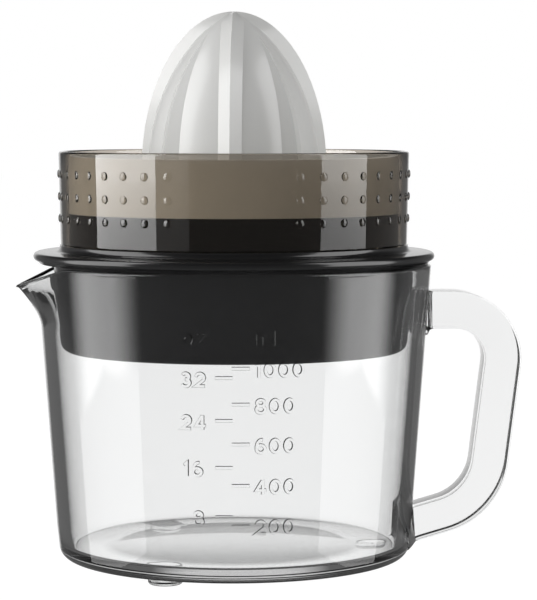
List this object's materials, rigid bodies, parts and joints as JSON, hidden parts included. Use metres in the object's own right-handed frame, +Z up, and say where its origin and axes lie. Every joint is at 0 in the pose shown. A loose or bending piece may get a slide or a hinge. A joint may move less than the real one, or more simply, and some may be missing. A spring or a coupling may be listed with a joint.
{
  "type": "citrus press juicer",
  "caption": "Citrus juicer: a motor unit in the mouth of a clear handled pitcher, with a strainer, a smoky collar and a ribbed white reaming cone.",
  "frame": {"origin": "on the standing surface, under the middle of the length from spout tip to handle", "axes": "+Z up, +X towards the handle, -X towards the spout, -Y towards the front with the measuring marks"},
  "size_m": [0.1948, 0.154, 0.2121],
  "materials": {
    "clear_plastic": "clear moulded styrene, glossy",
    "black_plastic": "black moulded plastic, satin to glossy",
    "taupe_plastic": "smoky taupe translucent plastic, glossy",
    "white_plastic": "white food-grade plastic, glossy",
    "gear_plastic": "natural acetal gears",
    "screw_steel": "zinc-plated steel",
    "plate_steel": "stamped steel sheet",
    "lamination_steel": "stacked motor laminations",
    "bobbin_plastic": "moulded nylon bobbin",
    "winding_copper": "enamelled copper wire",
    "bush_bronze": "sintered bronze",
    "seal_rubber": "silicone rubber",
    "switch_plastic": "phenolic switch body",
    "button_plastic": "moulded button",
    "terminal_plastic": "moulded terminal block",
    "gland_rubber": "black PVC grommet",
    "magnet_ferrite": "ferrite magnet",
    "spring_steel": "spring steel wire"
  },
  "bodies": {
    "pitcher": {"pitcher": "clear_plastic"},
    "motor_unit": {"motor_housing": "black_plastic", "bottom_cover": "black_plastic", "cover_screws": "screw_steel", "gear_plate": "plate_steel", "plate_screws": "screw_steel", "idler_pin": "screw_steel", "stator_core": "lamination_steel", "coil_bobbins": "bobbin_plastic", "coil_windings": "winding_copper", "shaft_bush": "bush_bronze", "shaft_seal": "seal_rubber", "start_switch": "switch_plastic", "terminal_block": "terminal_plastic", "cord_gland": "gland_rubber"},
    "output_gear": {"output_gear": "gear_plastic"},
    "drive_shaft": {"drive_shaft": "white_plastic", "return_spring": "spring_steel"},
    "idler_gear": {"idler_gear": "gear_plastic"},
    "rotor": {"rotor_magnet": "magnet_ferrite", "rotor_spindle": "gear_plastic"},
    "switch_button": {"switch_button": "button_plastic"},
    "juice_collar": {"juice_collar": "taupe_plastic"},
    "strainer": {"strainer": "white_plastic"},
    "pulp_shutter": {"pulp_shutter": "white_plastic"},
    "small_cone": {"small_cone": "white_plastic"},
    "large_cone": {"large_cone": "white_plastic"}
  },
  "joints": [
    {"name": "motor_unit_lift", "type": "slide", "parent": "pitcher", "child": "motor_unit", "axis": [0, 0, 1], "range_m": [0, 0.08]},
    {"name": "collar_lift", "type": "slide", "parent": "motor_unit", "child": "juice_collar", "axis": [0, 0, 1], "range_m": [0, 0.06]},
    {"name": "strainer_lift", "type": "slide", "parent": "motor_unit", "child": "strainer", "axis": [0, 0, 1], "range_m": [0, 0.05]},
    {"name": "pulp_lever_turn", "type": "hinge", "parent": "strainer", "child": "pulp_shutter", "pos_m": [-0.013, 0, 0.132], "axis": [0, 0, 1], "range_deg": [0, 6]},
    {"name": "drive_spin", "type": "hinge", "parent": "motor_unit", "child": "output_gear", "pos_m": [-0.013, 0, 0.1112], "axis": [0, 0, 1], "continuous": true},
    {"name": "cone_press", "type": "slide", "parent": "output_gear", "child": "drive_shaft", "axis": [0, 0, -1], "range_m": [0, 0.0025], "stiffness_N_per_m": 1500, "springref_m": -0.004, "deforming": ["return_spring"]},
    {"name": "small_cone_lift", "type": "slide", "parent": "drive_shaft", "child": "small_cone", "axis": [0, 0, 1], "range_m": [0, 0.05]},
    {"name": "large_cone_lift", "type": "slide", "parent": "small_cone", "child": "large_cone", "axis": [0, 0, 1], "range_m": [0, 0.06]},
    {"name": "idler_spin", "type": "hinge", "parent": "motor_unit", "child": "idler_gear", "pos_m": [0.01693, 0.02019, 0.1112], "axis": [0, 0, 1], "continuous": true},
    {"name": "rotor_spin", "type": "hinge", "parent": "motor_unit", "child": "rotor", "pos_m": [0.00088, 0.0368, 0.1012], "axis": [0, 0, 1], "continuous": true},
    {"name": "switch_press", "type": "slide", "parent": "motor_unit", "child": "switch_button", "axis": [0, 0, -1], "range_m": [0, 0.0025]}
  ],
  "couplings": [
    {"joint": "idler_spin", "follows": "drive_spin", "ratio": -5},
    {"joint": "rotor_spin", "follows": "drive_spin", "ratio": 18},
    {"joint": "switch_press", "follows": "cone_press", "ratio": 1},
    {"joint": "small_cone_lift", "follows": "strainer_lift", "ratio": 1}
  ]
}
